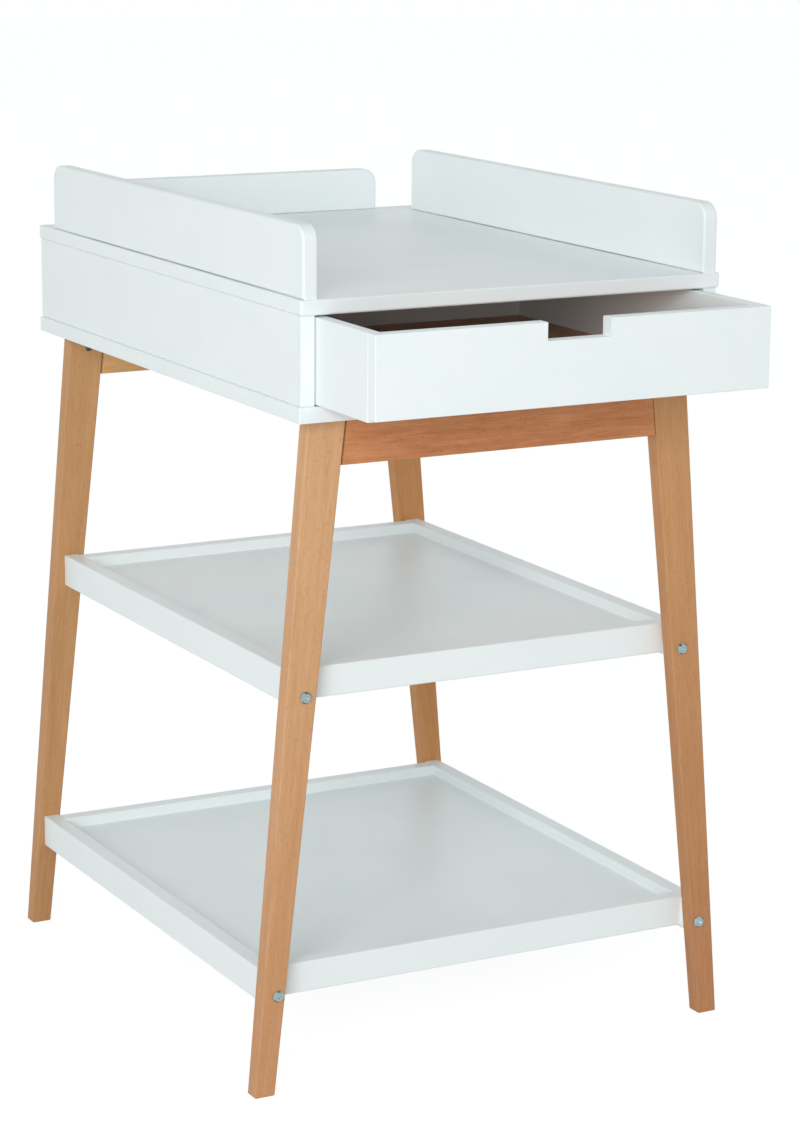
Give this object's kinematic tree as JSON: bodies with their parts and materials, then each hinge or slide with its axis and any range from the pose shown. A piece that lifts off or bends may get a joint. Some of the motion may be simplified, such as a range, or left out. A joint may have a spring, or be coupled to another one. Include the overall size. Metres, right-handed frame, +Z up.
{
  "type": "changing dresser",
  "caption": "Free-standing changing dresser: white lacquered case with a pull-out drawer and raised guard boards, on splayed beech legs with open trays below.",
  "frame": {"origin": "bottom centre of the whole part's box, on the floor, with the drawer drawn out as at rest", "axes": "+Z up, the front and its drawer face -Y, +X is on the right of someone who stands in front and looks at it"},
  "size_m": [0.652, 0.9244, 1.038],
  "materials": {
    "white_lacquer": "satin white lacquer on board",
    "beech": "steamed beech, clear satin varnish",
    "brown_plywood": "thin brown plywood, matt varnish",
    "dowel_beech": "raw beech dowel",
    "stop_beech": "raw sawn beech",
    "zinc_plated_steel": "bright blue zinc plate",
    "glide_plastic": "slick natural nylon strip"
  },
  "bodies": {
    "stand": {"top_panel": "white_lacquer", "side_panel_left": "white_lacquer", "side_panel_right": "white_lacquer", "back_panel": "white_lacquer", "bottom_panel": "white_lacquer", "guard_left": "white_lacquer", "guard_right": "white_lacquer", "guard_back": "white_lacquer", "guard_screws": "zinc_plated_steel", "guard_dowels": "dowel_beech", "case_dowels": "dowel_beech", "cam_locks": "zinc_plated_steel", "cam_bolts": "zinc_plated_steel", "case_screws": "zinc_plated_steel", "drawer_glide_left": "glide_plastic", "drawer_glide_right": "glide_plastic", "closing_stops": "stop_beech", "opening_stop": "stop_beech", "stop_screws": "zinc_plated_steel", "leg_front_left": "beech", "leg_front_right": "beech", "leg_back_left": "beech", "leg_back_right": "beech", "apron_front": "beech", "apron_back": "beech", "apron_dowels": "dowel_beech", "apron_screws": "zinc_plated_steel", "leg_bolts": "zinc_plated_steel", "leg_barrel_nuts": "zinc_plated_steel", "leg_dowels": "dowel_beech", "middle_tray_rail_left": "white_lacquer", "middle_tray_rail_right": "white_lacquer", "middle_tray_rail_front": "white_lacquer", "middle_tray_rail_back": "white_lacquer", "middle_tray_panel": "white_lacquer", "middle_tray_dowels": "dowel_beech", "middle_tray_bolts": "zinc_plated_steel", "middle_tray_inserts": "zinc_plated_steel", "lower_tray_rail_left": "white_lacquer", "lower_tray_rail_right": "white_lacquer", "lower_tray_rail_front": "white_lacquer", "lower_tray_rail_back": "white_lacquer", "lower_tray_panel": "white_lacquer", "lower_tray_dowels": "dowel_beech", "lower_tray_bolts": "zinc_plated_steel", "lower_tray_inserts": "zinc_plated_steel"},
    "drawer": {"drawer_front": "white_lacquer", "drawer_side_left": "white_lacquer", "drawer_side_right": "white_lacquer", "drawer_back": "white_lacquer", "drawer_bottom": "brown_plywood", "drawer_dowels": "dowel_beech", "drawer_screws": "zinc_plated_steel"}
  },
  "joints": [
    {"name": "drawer_slide", "type": "slide", "parent": "stand", "child": "drawer", "axis": [0, -1, 0], "range_m": [-0.1445, 0.2055]}
  ]
}
